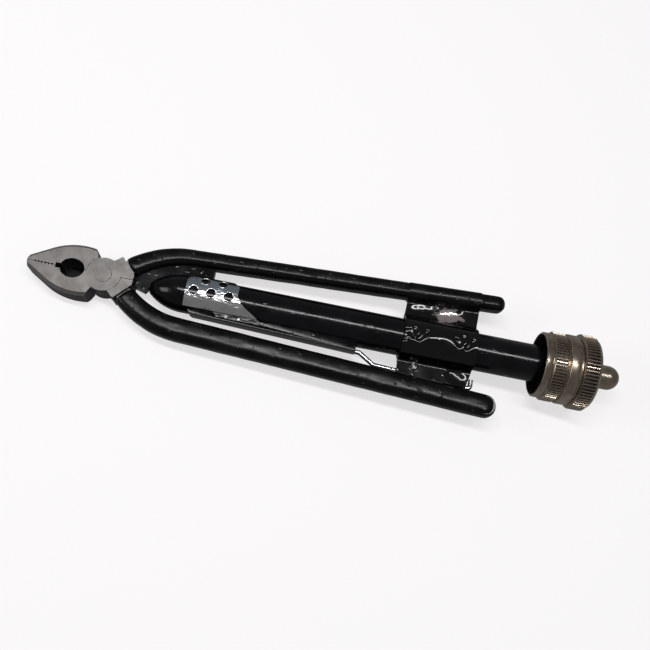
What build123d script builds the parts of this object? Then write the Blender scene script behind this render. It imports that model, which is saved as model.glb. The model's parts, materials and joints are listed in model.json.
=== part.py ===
"""Safety-wire twisting pliers: two lapped plier halves, a spiral twister in a tube, and a handle latch.

The tool axis is +X, from the jaws to the pull knob. +Y points to the upper handle, which carries the tube.
The origin is on the pivot axis, on the flat underside of the head.
"""
from build123d import *
from math import cos, radians, sin, tan
import os

# ---- head ----
head_thick = 10.0
axis_z = head_thick / 2
disc_r = 6.7
joint_gap = 0.15
lap_gap = 0.10
face_gap = 0.24
jaw_length = 29.5
jaw_half_width = 9.8
jaw_tip_half = 2.4
jaw_tip_slant = 0.4
jaw_bevel = 1.2
jaw_shoulder_x = -5.2
jaw_root_x = -3.2
jaw_root_y = 5.8
jaw_bend_back = 7.0
jaw_bend_y = 6.3
jaw_belly_x = -14.5
jaw_belly_y = 9.6
tang_root_x = 2.5
tang_root_y = 6.0
tang_corner = 1.1
nest_x = -12.1
nest_half_length = 4.75
nest_half_width = 3.95
throat_length = 1.7
throat_half = 1.0
tooth_pitch = 1.3
tooth_depth = 0.45
tooth_count = 6
rivet_r = 3.2
rivet_clear = 0.05
rivet_crown = 0.25

# ---- handles ----
tang_x = 8.6
tang_y = 5.2
tang_angle = 42.0
handle_angle = 2.9
bow_r = 37.7
tang_half = 4.4
neck_turn = 3.0
handle_tip_x = 153.5
grip_height = 8.4
grip_round = 2.6
dip_thick = 1.1
upper_width = 7.2
upper_tip_width = 6.2
lower_width = 9.4
lower_tip_width = 9.2

# ---- twister tube ----
tube_r = 7.4
tube_wall = 1.2
tube_start = 37.0
tube_end = handle_tip_x + 33.5
nose_length = 19.0
nose_taper = 13.3
nose_spigot = 6.0
nose_tip_r = 2.4
web_end = tube_start + 4.0
web_thick = 4.0
web_crotch_x = 11.8
web_heel = 2.6

# ---- spiral drive ----
rod_width = 5.2
rod_thick = 2.8
rod_start = tube_start + 17.2
rod_end = tube_end - 15.0
spiral_pitch = 48.0
spiral_clear = 0.25
journal_r = 1.5
shank_r = 2.9
stud_r = 2.4
stud_length = 10.0
running_clear = 0.05
nut_start = tube_end - 29.0
nut_length = 5.0
nut_pin_r = 0.9
nut_pin_in = tube_r - tube_wall - 1.8
nut_pin_sink = 0.1
bush_length = 10.0
bush_clear = 0.25
flange_thick = 1.3
follower_thick = 3.8
collar_length = 3.6
collar_r = 3.2
collar_upset = 0.6
spring_wire_r = 0.5
spring_r = tube_r - tube_wall - 1.3
spring_turns = 26

# ---- pull knob ----
knob_start = tube_end - 15.0
knob_length = 21.5
knob_bore_r = tube_r + 4.7
knob_bands = ((0.14, 0.9), (0.25, 1.7), (0.04, 1.0), (0.205, 1.8), (0.03, 1.2), (0.335, 2.9))
knob_chamfer = 1.2
knob_wall = 3.5
washer_thick = 1.5
washer_r = 6.0
dome_r = 4.75
dome_length = 11.6

# ---- cross plate ----
plate_length = 29.0
plate_start = handle_tip_x - 36.0
plate_end = plate_start + plate_length
sheet = 1.3
wing_gap = 0.4
wing_top = 18.0
wing_slant = 1.4
wing_slant_y = -8.2
wrap = 0.35
window = 2.8
window_x = plate_start + 6.6
window_y = -10.4
strap_flange = 2.6
strap_rivet_r = 0.8
strap_edge = 3.5

# ---- latch ----
slide_start = tube_start - 4.7
slide_length = 20.0
slide_sheet = 0.5
slide_gap = 0.1
slide_front = 52.0
slide_back = 68.0
slide_corner = 2.6
slide_hole_r = 1.9
slide_hole_pitch = 6.8
slide_hole_x = (3.1, 6.8)
slide_row_angles = (1.0, -36.0)
slide_row_counts = (3, 2)
slide_rivet_r = 0.5
slide_rivet_depth = 1.4
rivet_first_x = 17.0
rivet_pitch = 5.0
rivet_edge = 0.7
tail_sweep = ((0.0, 7.2), (2.4, 4.0), (6.2, 1.7))
tail_length = 10.7
tail_end_width = 0.6
flange_x = 13.5
flange_width = 1.7
flange_lap = 0.3
latch_bar_start = tube_start - 2.6
latch_bar_end = plate_start - 17.0
latch_bar_top = 4.5
latch_bar_low = 2.2
latch_bar_inner_y = -4.4
latch_bar_y_start = -tube_r - 0.8
latch_bar_y_end = -tube_r - 2.8
latch_clear = 0.3
latch_cut = 1.6
wire_r = 0.95
wire_y = latch_bar_y_end + 1.2
wire_clear = 0.4
wire_z = -sheet / 2 - wire_clear - wire_r
wire_gap = 0.35
wire_bend_x = latch_bar_end + 8.1
wire_end_x = plate_end + 0.95
wire_hook = 3.6
wire_bend_r = 2.0
lug_x = plate_end - 9.5
lug_length = 7.0
lug_thick = 2.6
lug_reach = 11.0
lug_clear = 0.4

tube_bore = tube_r - tube_wall
knob_end = knob_start + knob_length
rod_corner_r = (rod_width**2 + rod_thick**2) ** 0.5 / 2
tool_axis = Axis((0, 0, axis_z), (1, 0, 0))
side_plane = Plane(origin=(0, 0, axis_z), x_dir=(1, 0, 0), z_dir=(0, -1, 0))


def across(x):
    """The plane across the tool axis at x: its own x is +Y and its own y is +Z."""
    return Plane(origin=(x, 0, axis_z), x_dir=(0, 1, 0), z_dir=(1, 0, 0))


def ring(outer_r, inner_r, start, end):
    """A plain ring or, with no inner radius, a plain disc about the tool axis."""
    with BuildPart() as turned:
        with BuildSketch(across(start)):
            Circle(outer_r)
            if inner_r > 0:
                Circle(inner_r, mode=Mode.SUBTRACT)
        extrude(amount=end - start)
    return turned.part


def bow_point(side, angle, offset):
    """A point on the handle's bow, at the heading angle and offset outwards from the middle line."""
    a = radians(angle)
    start = radians(tang_angle)
    centre_x = tang_x + bow_r * sin(start)
    centre_y = tang_y - bow_r * cos(start)
    r = bow_r + offset
    return (centre_x - r * sin(a), side * (centre_y + r * cos(a)))


def tip_point(side, offset, along=0.0):
    """A point at the handle's tip: offset outwards from the middle line, and along past the tip centre."""
    a = radians(handle_angle)
    bow_x, bow_y = bow_point(1, handle_angle, 0)
    middle_y = bow_y + (handle_tip_x - bow_x) * tan(a)
    return (
        handle_tip_x - offset * sin(a) + along * cos(a),
        side * (middle_y + offset * cos(a) + along * sin(a)),
    )


def inner_edge_y(x):
    """The Y of the lower handle's inner edge where that edge is straight."""
    edge_x, edge_y = tip_point(-1, -lower_tip_width / 2)
    start_x, start_y = bow_point(-1, handle_angle, -lower_width / 2)
    return edge_y + (x - edge_x) * (edge_y - start_y) / (edge_x - start_x)


def handle_outline(side, width, tip_width):
    """The closed plan outline of one handle bar."""
    half = width / 2
    tip = tip_width / 2
    middle = (tang_angle + handle_angle) / 2
    with BuildSketch() as outline:
        with BuildLine():
            ThreePointArc(
                bow_point(side, tang_angle, tang_half),
                bow_point(side, middle, (tang_half + half) / 2),
                bow_point(side, handle_angle, half),
            )
            Line(bow_point(side, handle_angle, half), tip_point(side, tip))
            ThreePointArc(tip_point(side, tip), tip_point(side, 0, tip), tip_point(side, -tip))
            Line(tip_point(side, -tip), bow_point(side, handle_angle, -half))
            ThreePointArc(
                bow_point(side, handle_angle, -half),
                bow_point(side, middle, -(tang_half + half) / 2),
                bow_point(side, tang_angle, -tang_half),
            )
            Line(bow_point(side, tang_angle, -tang_half), bow_point(side, tang_angle, tang_half))
        make_face()
    return outline.sketch_local


def handle_bar(side, width, tip_width, height, edge_round):
    """A rounded handle bar about the tool's middle height."""
    with BuildPart() as bar:
        with BuildSketch(Plane.XY.offset(axis_z - height / 2)):
            add(handle_outline(side, width, tip_width))
        extrude(amount=height)
        rims = bar.faces().sort_by(Axis.Z)
        fillet(rims[0].edges() + rims[-1].edges(), radius=edge_round)
    return bar.part


def handle_core(side, width, tip_width):
    """The steel bar inside the dipped grip."""
    with BuildPart() as core:
        with BuildSketch(Plane.XY.offset(axis_z - grip_height / 2 + dip_thick)):
            add(handle_outline(side, width, tip_width))
            offset(amount=-dip_thick, kind=Kind.INTERSECTION)
            with BuildLine():
                Polyline(
                    bow_point(side, tang_angle + neck_turn, dip_thick - tang_half),
                    bow_point(side, tang_angle + neck_turn, tang_half - dip_thick),
                    bow_point(side, tang_angle - neck_turn, tang_half - 1.5 * dip_thick),
                    bow_point(side, tang_angle - neck_turn, 1.5 * dip_thick - tang_half),
                    bow_point(side, tang_angle + neck_turn, dip_thick - tang_half),
                )
            make_face()
        extrude(amount=grip_height - 2 * dip_thick)
    return core.part


def jaw_outline(side):
    """One jaw in plan, from its tip back to the joint disc."""
    face = side * face_gap / 2
    with BuildSketch() as outline:
        with BuildLine():
            Polyline(
                (jaw_root_x, face),
                (-jaw_length, face),
                (-jaw_length + jaw_tip_slant, side * jaw_tip_half),
                (-jaw_length + jaw_bend_back, side * jaw_bend_y),
            )
            ThreePointArc(
                (-jaw_length + jaw_bend_back, side * jaw_bend_y),
                (jaw_belly_x, side * jaw_belly_y),
                (jaw_shoulder_x, side * jaw_half_width),
            )
            Polyline(
                (jaw_shoulder_x, side * jaw_half_width),
                (jaw_root_x, side * jaw_root_y),
                (jaw_root_x, face),
            )
        make_face()
    return outline.sketch_local


def tang_outline(side):
    """The shoulder between the joint disc and the handle, in plan."""
    face = side * face_gap / 2
    outer = bow_point(side, tang_angle, tang_half)
    inner = bow_point(side, tang_angle, -tang_half)
    with BuildSketch() as outline:
        with BuildLine():
            Polyline(
                (tang_root_x, face),
                (tang_root_x, side * tang_root_y),
                (tang_root_x + tang_corner, side * disc_r),
                outer,
                inner,
                (inner[0], face),
                (tang_root_x, face),
            )
        make_face()
    return outline.sketch_local


def tooth_row(side):
    """The row of wire-gripping teeth to cut along one jaw's face."""
    first_x = nest_x - nest_half_length - throat_length - tooth_pitch
    with BuildSketch() as row:
        for step in range(tooth_count):
            x = first_x - step * tooth_pitch
            with BuildLine():
                Polyline(
                    (x - tooth_depth, 0),
                    (x + tooth_depth, 0),
                    (x, side * (face_gap / 2 + tooth_depth)),
                    (x - tooth_depth, 0),
                )
            make_face()
    return row.sketch_local


def plier_half(jaw_side, disc_on_top, width, tip_width, bore_r):
    """One forged half: a jaw on one side, the lapped joint disc, and the tang and bar on the other side."""
    core = handle_core(-jaw_side, width, tip_width)
    layer = axis_z - lap_gap / 2
    disc_low = head_thick - layer if disc_on_top else 0
    relief_low = 0 if disc_on_top else layer
    with BuildPart() as half:
        with BuildSketch():
            add(jaw_outline(jaw_side))
        extrude(amount=head_thick)
        chamfer(half.edges().filter_by(GeomType.CIRCLE), length=jaw_bevel)
        with BuildSketch():
            add(tang_outline(-jaw_side))
        extrude(amount=head_thick)
        with BuildSketch(Plane.XY.offset(relief_low)):
            Circle(disc_r + joint_gap)
        extrude(amount=head_thick - layer, mode=Mode.SUBTRACT)
        with BuildSketch(Plane.XY.offset(disc_low)):
            Circle(disc_r)
        extrude(amount=layer)
        with BuildSketch():
            with Locations((nest_x, 0)):
                Ellipse(nest_half_length, nest_half_width)
            with Locations((nest_x - nest_half_length, 0)):
                Rectangle(2 * throat_length, 2 * throat_half)
            add(tooth_row(jaw_side))
            Circle(bore_r)
        extrude(amount=head_thick, mode=Mode.SUBTRACT)
        add(core)
    return half.part


def save(part, name):
    """Label one finished piece and write its STEP file."""
    part.label = name
    export_step(part, f"parts/{name}.step")


def twisted_bar(width, thick, start, end, phase_start):
    """A flat bar twisted about the tool axis, in step with the spiral at phase_start."""
    turn = 360.0 / spiral_pitch
    with BuildSketch(across(start)) as section:
        Rectangle(width, thick, rotation=turn * (start - phase_start))
    return Solid.extrude_linear_with_rotation(
        section.sketch.face(),
        center=(start, 0, axis_z),
        normal=(end - start, 0, 0),
        angle=turn * (end - start),
    )


os.makedirs("parts", exist_ok=True)

# ---- the two plier halves, their dipped grips and the pivot ----
front_half = plier_half(-1, True, upper_width, upper_tip_width, rivet_r)
save(front_half, "front_half_forging")
back_half = plier_half(1, False, lower_width, lower_tip_width, rivet_r + rivet_clear)
save(back_half, "back_half_forging")

upper_bar = handle_bar(1, upper_width, upper_tip_width, grip_height, grip_round)
lower_bar = handle_bar(-1, lower_width, lower_tip_width, grip_height, grip_round)

with BuildPart() as upper_handle_grip:
    add(upper_bar)
    add(handle_core(1, upper_width, upper_tip_width), mode=Mode.SUBTRACT)
save(upper_handle_grip.part, "upper_handle_grip")

with BuildPart() as lower_handle_grip:
    add(lower_bar)
    add(handle_core(-1, lower_width, lower_tip_width), mode=Mode.SUBTRACT)
save(lower_handle_grip.part, "lower_handle_grip")

with BuildPart() as pivot_rivet:
    with BuildSketch():
        Circle(rivet_r)
    extrude(amount=head_thick + rivet_crown)
    fillet(pivot_rivet.faces().sort_by(Axis.Z)[-1].edges(), radius=rivet_crown * 0.9)
save(pivot_rivet.part, "pivot_rivet")

# ---- twister tube, nose and the web that carries them ----
nut_middle = nut_start + nut_length / 2
nose_x = tube_start - nose_length
with BuildPart() as twister_tube:
    with BuildSketch(across(tube_start)):
        Circle(tube_r)
        Circle(tube_bore, mode=Mode.SUBTRACT)
    extrude(amount=tube_end - tube_start)
    with BuildSketch(Plane(origin=(nut_middle, 0, axis_z), z_dir=(0, 1, 0))):
        Circle(nut_pin_r)
    extrude(amount=tube_r + 1, both=True, mode=Mode.SUBTRACT)
save(twister_tube.part, "twister_tube")

with BuildPart() as tube_nose_plug:
    with BuildSketch(side_plane):
        with BuildLine():
            Polyline(
                (tube_start, tube_r),
                (tube_start, tube_bore),
                (tube_start + nose_spigot, tube_bore),
                (tube_start + nose_spigot, 0),
                (nose_x, 0),
                (nose_x, nose_tip_r),
            )
            Line((tube_start, tube_r), (nose_x + nose_taper, tube_r))
            TangentArc((nose_x + nose_taper, tube_r), (nose_x, nose_tip_r), tangent=(-1, 0))
        make_face()
    revolve(axis=tool_axis)
save(tube_nose_plug.part, "tube_nose_plug")

with BuildPart() as nose_web:
    with BuildSketch(Plane.XY.offset(axis_z - web_thick / 2)):
        with BuildLine():
            Polyline(
                (nose_x, 0),
                (nose_x - 2 * web_heel / 3, -web_heel),
                (web_crotch_x, -web_heel / 2),
                (web_crotch_x, tang_y),
                bow_point(1, handle_angle, 0),
                (web_end, bow_point(1, handle_angle, 0)[1]),
                (web_end, tube_r / 2),
                (nose_x, 0),
            )
        make_face()
    extrude(amount=web_thick)
    add(upper_bar, mode=Mode.SUBTRACT)
    add(tube_nose_plug.part, mode=Mode.SUBTRACT)
    add(twister_tube.part, mode=Mode.SUBTRACT)
save(nose_web.part, "nose_web")

# ---- cross plate over the tube and the upper handle, and its lower strap ----
tube_solid = ring(tube_r, 0, plate_start, plate_end)
handle_wrap = handle_bar(
    1, upper_width + 2 * wrap, upper_tip_width + 2 * wrap, grip_height + 2 * wrap, grip_round + wrap
)
strap_rivet_y = tube_r + strap_flange / 2 + 0.1
with BuildSketch() as strap_hole_sketch:
    with Locations((plate_start + plate_length / 2, 0)):
        with GridLocations(plate_length - 2 * strap_edge, 2 * strap_rivet_y, 2, 2):
            Circle(strap_rivet_r)
strap_holes = strap_hole_sketch.sketch_local
with BuildPart() as cross_plate:
    add(handle_wrap)
    with BuildSketch(across(plate_start)):
        Rectangle(8 * tube_r, 8 * tube_r)
    extrude(amount=plate_length, mode=Mode.INTERSECT)
    with BuildSketch(across(plate_start)):
        Circle(tube_r + sheet)
        with Locations((0, -tube_r - sheet)):
            Rectangle(4 * tube_r, 2 * tube_r + sheet, mode=Mode.SUBTRACT)
    extrude(amount=plate_length)
    with BuildSketch(Plane.XY.offset(axis_z - sheet / 2)):
        with BuildLine():
            Polyline(
                (plate_start, inner_edge_y(plate_start) + wing_gap),
                (plate_start, wing_top),
                (plate_end, wing_top),
                (plate_end, wing_slant_y),
                (plate_end - wing_slant, inner_edge_y(plate_end) + wing_gap),
                (plate_start, inner_edge_y(plate_start) + wing_gap),
            )
        make_face()
        with Locations((window_x, window_y)):
            Rectangle(window, window, mode=Mode.SUBTRACT)
    extrude(amount=sheet)
    add(tube_solid, mode=Mode.SUBTRACT)
    add(upper_bar, mode=Mode.SUBTRACT)
    with BuildSketch(Plane.XY.offset(axis_z - 1.5 * sheet)):
        add(strap_holes)
    extrude(amount=2 * sheet, mode=Mode.SUBTRACT)
save(cross_plate.part, "cross_plate")

with BuildPart() as under_strap:
    with BuildSketch(across(plate_start)):
        Circle(tube_r + sheet)
        with Locations((0, tube_r)):
            Rectangle(4 * tube_r, 2 * tube_r + sheet, mode=Mode.SUBTRACT)
        with Locations((0, -sheet)):
            Rectangle(2 * (tube_r + strap_flange), sheet)
        Circle(tube_r, mode=Mode.SUBTRACT)
    extrude(amount=plate_length)
    with BuildSketch(Plane.XY.offset(axis_z - 1.5 * sheet)):
        add(strap_holes)
    extrude(amount=2 * sheet, mode=Mode.SUBTRACT)
save(under_strap.part, "under_strap")

# ---- spiral nut, its pins and the end bushing, fixed in the tube ----
nut_thread = twisted_bar(
    rod_width + 2 * spiral_clear,
    rod_thick + 2 * spiral_clear,
    nut_start - nut_length,
    nut_start + 2 * nut_length,
    rod_start,
)
with BuildPart() as spiral_nut:
    with BuildSketch(across(nut_start)):
        Circle(tube_bore)
    extrude(amount=nut_length)
    add(nut_thread, mode=Mode.SUBTRACT)
    with BuildSketch(Plane(origin=(nut_middle, 0, axis_z), z_dir=(0, 1, 0))):
        Circle(nut_pin_r)
    extrude(amount=tube_r, both=True, mode=Mode.SUBTRACT)
save(spiral_nut.part, "spiral_nut")

with BuildPart() as nut_pins:
    for side in (1, -1):
        with BuildSketch(Plane(origin=(nut_middle, side * nut_pin_in, axis_z), z_dir=(0, side, 0))):
            Circle(nut_pin_r)
        extrude(amount=tube_r - nut_pin_in - nut_pin_sink)
save(nut_pins.part, "nut_pins")

bush_bore = rod_corner_r + bush_clear
with BuildPart() as tube_end_bushing:
    with BuildSketch(across(tube_end - bush_length)):
        Circle(tube_bore)
    extrude(amount=bush_length)
    with BuildSketch(across(tube_end)):
        Circle(tube_r)
    extrude(amount=flange_thick)
    with BuildSketch(across(tube_end - bush_length)):
        Circle(bush_bore)
    extrude(amount=bush_length + flange_thick, mode=Mode.SUBTRACT)
save(tube_end_bushing.part, "tube_end_bushing")

# ---- spring follower, which slides in the tube without turning ----
follower_start = rod_start - running_clear - follower_thick
with BuildPart() as spring_follower:
    with BuildSketch(across(follower_start)):
        Circle(tube_bore - running_clear)
        Circle(journal_r + running_clear, mode=Mode.SUBTRACT)
    extrude(amount=follower_thick)
save(spring_follower.part, "spring_follower")

spring_start = rod_start + spring_wire_r
spring_length = nut_start - spring_wire_r - spring_start
with BuildPart() as return_spring:
    with BuildLine() as coil:
        Helix(
            pitch=spring_length / spring_turns,
            height=spring_length,
            radius=spring_r,
            center=(spring_start, 0, axis_z),
            direction=(1, 0, 0),
        )
    with BuildSketch(Plane(origin=coil.line @ 0, z_dir=coil.line % 0)):
        Circle(spring_wire_r)
    sweep(path=coil.line, is_frenet=True)
save(return_spring.part, "return_spring")

# ---- spiral rod and what is fixed to it ----
wall_x = knob_end - knob_wall
washer_x = wall_x - washer_thick
collar_end = follower_start - running_clear
collar_start = collar_end - collar_length
spiral_flat = twisted_bar(rod_width, rod_thick, rod_start, rod_end, rod_start)
with BuildPart() as spiral_rod:
    with BuildSketch(across(collar_start - collar_upset)):
        Circle(journal_r)
    extrude(amount=rod_start - collar_start + 2 * collar_upset)
    add(spiral_flat)
    with BuildSketch(across(rod_end)):
        Circle(shank_r)
    extrude(amount=washer_x - rod_end)
    with BuildSketch(across(washer_x)):
        Circle(stud_r)
    extrude(amount=knob_end + stud_length - washer_x)
save(spiral_rod.part, "spiral_rod")

with BuildPart() as rod_end_collar:
    with BuildSketch(across(collar_start)):
        Circle(collar_r)
        Circle(journal_r, mode=Mode.SUBTRACT)
    extrude(amount=collar_length)
save(rod_end_collar.part, "rod_end_collar")

with BuildPart() as knob_washer:
    with BuildSketch(across(washer_x)):
        Circle(washer_r)
        Circle(stud_r, mode=Mode.SUBTRACT)
    extrude(amount=washer_thick)
save(knob_washer.part, "knob_washer")

with BuildPart() as pull_knob:
    band_x = knob_start
    for band_share, band_wall in knob_bands:
        band_length = band_share * knob_length
        with BuildSketch(across(band_x)):
            Circle(knob_bore_r + band_wall)
        extrude(amount=band_length)
        band_x += band_length
    end_rim = pull_knob.edges().filter_by(GeomType.CIRCLE).group_by(Axis.X)[-1].sort_by(SortBy.RADIUS)[-1]
    chamfer(end_rim, length=knob_chamfer)
    with BuildSketch(across(knob_start)):
        Circle(knob_bore_r)
    extrude(amount=wall_x - knob_start, mode=Mode.SUBTRACT)
    with BuildSketch(across(wall_x)):
        Circle(stud_r)
    extrude(amount=knob_wall, mode=Mode.SUBTRACT)
save(pull_knob.part, "pull_knob")

with BuildPart() as dome_nut:
    with BuildSketch(side_plane):
        with BuildLine():
            Polyline(
                (knob_end + dome_length, 0),
                (knob_end + stud_length, 0),
                (knob_end + stud_length, stud_r),
                (knob_end, stud_r),
                (knob_end, dome_r),
                (knob_end + dome_length - dome_r, dome_r),
            )
            RadiusArc(
                (knob_end + dome_length - dome_r, dome_r),
                (knob_end + dome_length, 0),
                dome_r,
            )
        make_face()
    revolve(axis=tool_axis)
save(dome_nut.part, "dome_nut")

# ---- rivets that close the cross plate on its strap ----
with BuildPart() as strap_rivets:
    with BuildSketch(Plane.XY.offset(axis_z - 1.5 * sheet)):
        add(strap_holes)
    extrude(amount=2 * sheet)
save(strap_rivets.part, "strap_rivets")

# ---- latch: thumb slide, bar, wire and rivets ----
slide_end = slide_start + slide_length


def slide_point(angle, r):
    """A point on the thumb slide's round, at an angle from straight up towards the lower handle."""
    a = radians(angle)
    return (-r * sin(a), r * cos(a))


slide_r = tube_r + slide_gap
slide_out = slide_r + slide_sheet
slide_mid = (slide_front - slide_back) / 2
slide_edge_y = slide_point(slide_front, slide_out)[0]
slide_back_y = slide_point(-slide_back, slide_out)[0]
flange_y = slide_edge_y - flange_width
tail_tip = (slide_end + tail_length, flange_y)
latch_top = axis_z + latch_bar_top
with BuildSketch() as slide_plan:
    with BuildLine():
        Polyline(
            (slide_end, slide_edge_y + tail_sweep[0][1]),
            (slide_end, slide_back_y - slide_corner),
            (slide_end - slide_corner, slide_back_y),
            (slide_start + slide_corner, slide_back_y),
            (slide_start, slide_back_y - slide_corner),
            (slide_start, slide_edge_y),
            (slide_start + flange_x - flange_width, slide_edge_y),
            (slide_start + flange_x, flange_y),
            tail_tip,
            (tail_tip[0], tail_tip[1] + tail_end_width),
        )
        Spline(
            (tail_tip[0], tail_tip[1] + tail_end_width),
            *[(slide_end + along, slide_edge_y + up) for along, up in reversed(tail_sweep)],
        )
    make_face()
slide_outline = slide_plan.sketch_local
with BuildSketch() as rivet_hole_sketch:
    for rivet_x in (slide_start + rivet_first_x, slide_start + rivet_first_x + rivet_pitch):
        with Locations((rivet_x, flange_y + rivet_edge)):
            Circle(slide_rivet_r)
rivet_holes = rivet_hole_sketch.sketch_local
with BuildPart() as thumb_slide:
    with BuildSketch(across(slide_start)):
        with BuildLine():
            ThreePointArc(
                slide_point(slide_front, slide_out),
                slide_point(slide_mid, slide_out),
                slide_point(-slide_back, slide_out),
            )
            Line(slide_point(-slide_back, slide_out), slide_point(-slide_back, slide_r))
            ThreePointArc(
                slide_point(-slide_back, slide_r),
                slide_point(slide_mid, slide_r),
                slide_point(slide_front, slide_r),
            )
            Line(slide_point(slide_front, slide_r), slide_point(slide_front, slide_out))
        make_face()
    extrude(amount=slide_length + tail_length)
    with BuildSketch(Plane.XY.offset(latch_top)):
        with Locations((slide_start + flange_x - flange_width, slide_edge_y + flange_lap)):
            Rectangle(slide_length + tail_length, flange_width + flange_lap, align=(Align.MIN, Align.MAX))
    extrude(amount=slide_sheet)
    with BuildSketch(Plane.XY.offset(axis_z)):
        add(slide_outline)
    extrude(amount=slide_out, mode=Mode.INTERSECT)
    for row, angle in enumerate(slide_row_angles):
        out = radians(angle)
        for column in range(slide_row_counts[row]):
            hole_x = slide_start + slide_hole_x[row] + column * slide_hole_pitch
            hole_plane = Plane(origin=(hole_x, 0, axis_z), x_dir=(1, 0, 0), z_dir=(0, -sin(out), cos(out)))
            with BuildSketch(hole_plane):
                Circle(slide_hole_r)
            extrude(amount=slide_out + 1, mode=Mode.SUBTRACT)
    with BuildSketch(Plane.XY.offset(latch_top)):
        add(rivet_holes)
    extrude(amount=slide_sheet, mode=Mode.SUBTRACT)
save(thumb_slide.part, "thumb_slide")

with BuildPart() as latch_bar:
    with BuildSketch(Plane.XY.offset(axis_z - latch_bar_low)):
        with BuildLine():
            Polyline(
                (latch_bar_start, latch_bar_inner_y),
                (latch_bar_end, latch_bar_inner_y),
                (latch_bar_end, latch_bar_y_end),
                (latch_bar_start + latch_cut, latch_bar_y_start),
                (latch_bar_start, latch_bar_y_start + latch_cut / 2),
                (latch_bar_start, latch_bar_inner_y),
            )
        make_face()
    extrude(amount=latch_bar_top + latch_bar_low)
    with BuildSketch(across(latch_bar_start)):
        Circle(tube_r + latch_clear)
    extrude(amount=latch_bar_end - latch_bar_start, mode=Mode.SUBTRACT)
    with BuildSketch(Plane.XY.offset(latch_top - slide_rivet_depth)):
        add(rivet_holes)
    extrude(amount=slide_rivet_depth, mode=Mode.SUBTRACT)
save(latch_bar.part, "latch_bar")

with BuildPart() as slide_rivets:
    with BuildSketch(Plane.XY.offset(latch_top - slide_rivet_depth)):
        add(rivet_holes)
    extrude(amount=slide_rivet_depth + slide_sheet)
save(slide_rivets.part, "slide_rivets")

wire_height = axis_z + wire_z
wire_bend_y = inner_edge_y(wire_bend_x) + wire_gap + wire_r
wire_end_y = inner_edge_y(wire_end_x) + wire_gap + wire_r
with BuildPart() as latch_wire:
    with BuildLine() as wire_path:
        FilletPolyline(
            (latch_bar_end, wire_y, wire_height),
            (latch_bar_end + wire_bend_r, wire_y, wire_height),
            (wire_bend_x, wire_bend_y, wire_height),
            (wire_end_x, wire_end_y, wire_height),
            (wire_end_x, wire_end_y + wire_hook, wire_height),
            radius=(wire_bend_r, wire_bend_r, 1.2 * wire_r),
        )
    with BuildSketch(Plane(origin=wire_path.line @ 0, z_dir=wire_path.line % 0)):
        Circle(wire_r)
    sweep(path=wire_path.line)
save(latch_wire.part, "latch_wire")

# ---- catch lug, welded to the lower handle under the wire ----
lug_top = wire_height - wire_r - lug_clear
lug_back_y = tip_point(-1, 0)[1]
with BuildPart() as catch_lug:
    with BuildSketch(Plane.XY.offset(lug_top - lug_thick)):
        with Locations((lug_x + lug_length / 2, (lug_back_y - lug_reach) / 2)):
            Rectangle(lug_length, -lug_back_y - lug_reach)
    extrude(amount=lug_thick)
    add(lower_bar, mode=Mode.SUBTRACT)
save(catch_lug.part, "catch_lug")
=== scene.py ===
"""Looks of the safety wire twisting pliers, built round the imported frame. Metres, same frame as the CAD."""
import json
from math import atan2, cos, pi, radians, sin, tan

import bmesh
import bpy
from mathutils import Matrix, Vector


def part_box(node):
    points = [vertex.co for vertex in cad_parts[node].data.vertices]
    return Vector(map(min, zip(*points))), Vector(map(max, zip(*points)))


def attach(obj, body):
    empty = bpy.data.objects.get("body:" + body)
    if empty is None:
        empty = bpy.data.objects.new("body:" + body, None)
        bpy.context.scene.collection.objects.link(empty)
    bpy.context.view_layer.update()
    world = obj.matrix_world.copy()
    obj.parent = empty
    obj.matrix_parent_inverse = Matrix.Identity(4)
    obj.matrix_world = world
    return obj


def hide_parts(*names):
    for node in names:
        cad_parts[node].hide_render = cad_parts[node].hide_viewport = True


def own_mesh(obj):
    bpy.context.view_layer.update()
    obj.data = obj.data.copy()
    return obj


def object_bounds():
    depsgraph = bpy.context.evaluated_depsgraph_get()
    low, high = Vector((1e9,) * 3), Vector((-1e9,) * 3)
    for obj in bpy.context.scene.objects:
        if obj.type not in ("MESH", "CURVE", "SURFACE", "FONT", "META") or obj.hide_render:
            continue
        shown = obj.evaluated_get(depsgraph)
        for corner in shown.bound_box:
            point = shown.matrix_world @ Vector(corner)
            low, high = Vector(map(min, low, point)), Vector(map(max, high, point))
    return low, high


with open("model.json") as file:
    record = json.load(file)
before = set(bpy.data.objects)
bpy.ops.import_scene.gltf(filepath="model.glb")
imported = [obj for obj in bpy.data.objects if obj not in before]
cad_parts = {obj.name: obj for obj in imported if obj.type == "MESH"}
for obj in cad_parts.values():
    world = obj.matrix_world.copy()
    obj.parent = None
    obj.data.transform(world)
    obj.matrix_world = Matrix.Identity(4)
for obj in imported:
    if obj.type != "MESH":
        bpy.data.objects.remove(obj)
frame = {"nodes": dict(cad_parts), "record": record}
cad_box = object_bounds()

nodes = frame["nodes"]

MM = 0.001  # one millimetre in metres


# ---------------------------------------------------------------- shader helpers

def new_group(name, inputs, outputs):
    """A shader node group with named float or colour sockets, and its input and output nodes."""
    group = bpy.data.node_groups.new(name, "ShaderNodeTree")
    for socket, kind, default in inputs:
        made = group.interface.new_socket(socket, in_out="INPUT", socket_type=kind)
        made.default_value = default
    for socket, kind in outputs:
        group.interface.new_socket(socket, in_out="OUTPUT", socket_type=kind)
    return group, group.nodes.new("NodeGroupInput"), group.nodes.new("NodeGroupOutput")


def math_node(tree, operation, a, b=None):
    """A Math node whose inputs are sockets or plain numbers, and its result socket."""
    node = tree.nodes.new("ShaderNodeMath")
    node.operation = operation
    for index, value in enumerate((a, b)):
        if value is None:
            continue
        if isinstance(value, (int, float)):
            node.inputs[index].default_value = value
        else:
            tree.links.new(value, node.inputs[index])
    return node.outputs[0]


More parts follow.
